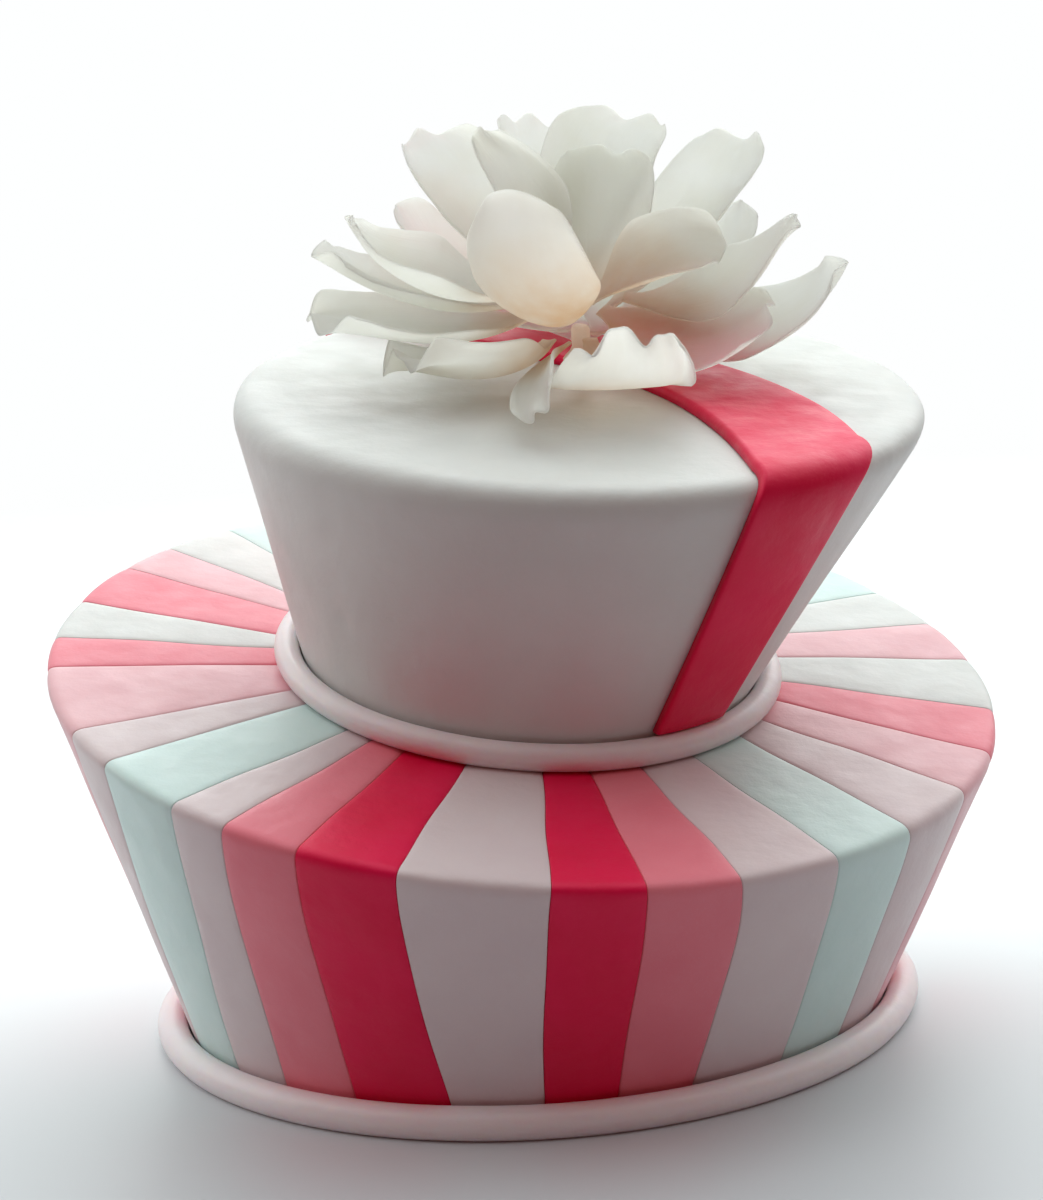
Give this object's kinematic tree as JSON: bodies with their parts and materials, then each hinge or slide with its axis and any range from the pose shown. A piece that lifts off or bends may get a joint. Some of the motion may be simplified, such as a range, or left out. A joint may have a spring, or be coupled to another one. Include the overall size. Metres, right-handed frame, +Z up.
{
  "type": "tiered wedding cake",
  "caption": "Round topsy-turvy wedding cake in tilted tiers, clad in fondant strips, with rope borders, a folded ribbon of fondant and an open sugar flower on top.",
  "frame": {"origin": "middle of the lower tier's foot, on the surface that the cake stands on", "axes": "+Z up, -Y towards the front where the ribbon comes down, +X to the viewer's right"},
  "size_m": [0.2953, 0.2904, 0.2865],
  "materials": {
    "white": "white fondant, smooth and matt with a faint sheen",
    "mint_white": "mint-white fondant, smooth and matt with a faint sheen",
    "pale_blush": "pale blush fondant, smooth and matt with a faint sheen",
    "light_pink": "light pink fondant, smooth and matt with a faint sheen",
    "salmon": "salmon pink fondant, smooth and matt with a faint sheen",
    "hot_pink": "hot pink fondant, smooth and matt with a faint sheen",
    "rope_pink": "pink rope fondant, smooth and matt with a faint sheen",
    "petal_white": "ivory sugar paste, smooth and matt with a faint sheen"
  },
  "bodies": {
    "root": {"lower_tier": "white", "strip_01": "hot_pink", "strip_02": "salmon", "strip_03": "pale_blush", "strip_04": "mint_white", "strip_05": "pale_blush", "strip_06": "light_pink", "strip_07": "salmon", "strip_08": "white", "strip_09": "light_pink", "strip_10": "white", "strip_11": "mint_white", "strip_12": "salmon", "strip_13": "light_pink", "strip_14": "hot_pink", "strip_15": "white", "strip_16": "pale_blush", "strip_17": "salmon", "strip_18": "light_pink", "strip_19": "mint_white", "strip_20": "white", "strip_21": "light_pink", "strip_22": "salmon", "strip_23": "white", "strip_24": "salmon", "strip_25": "light_pink", "strip_26": "pale_blush", "strip_27": "mint_white", "strip_28": "pale_blush", "strip_29": "salmon", "strip_30": "hot_pink", "strip_31": "pale_blush", "lower_rope": "rope_pink", "upper_tier": "white", "upper_rope": "rope_pink", "ribbon_band": "hot_pink", "petal_inner_right": "petal_white", "petal_inner_left": "petal_white", "petal_inner_back_left": "petal_white", "petal_inner_back": "petal_white", "petal_back_right_far": "petal_white", "petal_back_left_far": "petal_white", "petal_back_left_tall": "petal_white", "petal_back_right_tall": "petal_white", "petal_right_point": "petal_white", "petal_left_point": "petal_white", "petal_back_left_low": "petal_white", "petal_back_right_low": "petal_white", "petal_left_mid": "petal_white", "petal_right_front": "petal_white", "petal_right_far": "petal_white", "petal_left_low": "petal_white", "petal_front_tip": "petal_white", "petal_rear_right": "petal_white", "petal_rear_left": "petal_white", "petal_rear_middle": "petal_white", "petal_front_left": "petal_white", "petal_front_right": "petal_white", "flower_heart": "petal_white"}
  },
  "joints": []
}
